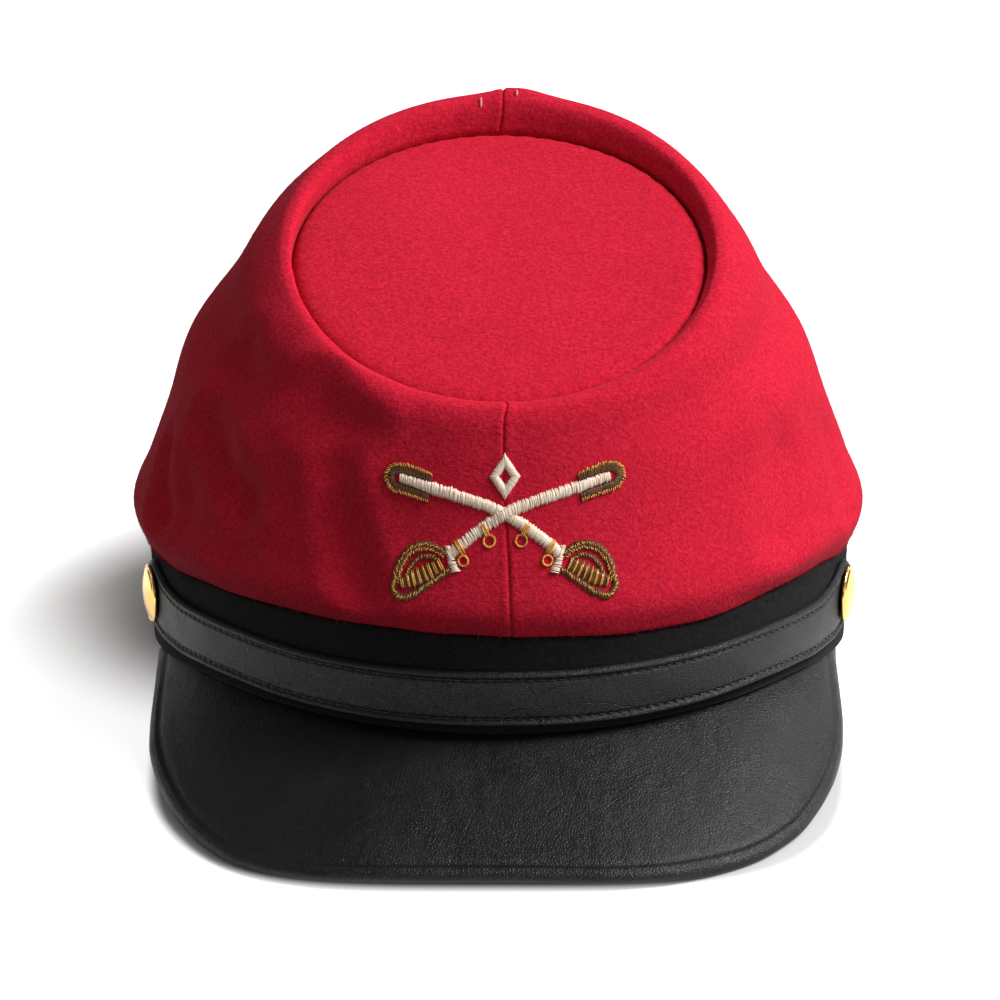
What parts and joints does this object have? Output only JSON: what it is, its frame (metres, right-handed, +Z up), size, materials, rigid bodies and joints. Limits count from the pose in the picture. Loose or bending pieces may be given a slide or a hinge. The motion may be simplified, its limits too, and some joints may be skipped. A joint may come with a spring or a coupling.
{
  "type": "kepi cap",
  "caption": "Soft felt kepi with a forward-sloping sunken round top, dark band, stiff leather peak, leather front strap and domed metal side buttons.",
  "frame": {"origin": "middle of the footprint, at the height of the surface the cap stands on", "axes": "+Z up, -Y the front of the cap (the peak points along -Y), +X the viewer's right when facing the front"},
  "size_m": [0.181, 0.2377, 0.1422],
  "materials": {
    "crown_felt": "matt red wool felt with a short nap",
    "band_cloth": "matt black felt with a short nap",
    "peak_leather": "black, finely grained, half gloss",
    "strap_leather": "black, smooth, half gloss, stitched along both edges",
    "button_metal": "polished gilt"
  },
  "bodies": {
    "root": {"crown_left": "crown_felt", "crown_right": "crown_felt", "top_disc": "crown_felt", "band": "band_cloth", "peak": "peak_leather", "strap": "strap_leather", "button_left": "button_metal", "button_right": "button_metal"}
  },
  "joints": []
}
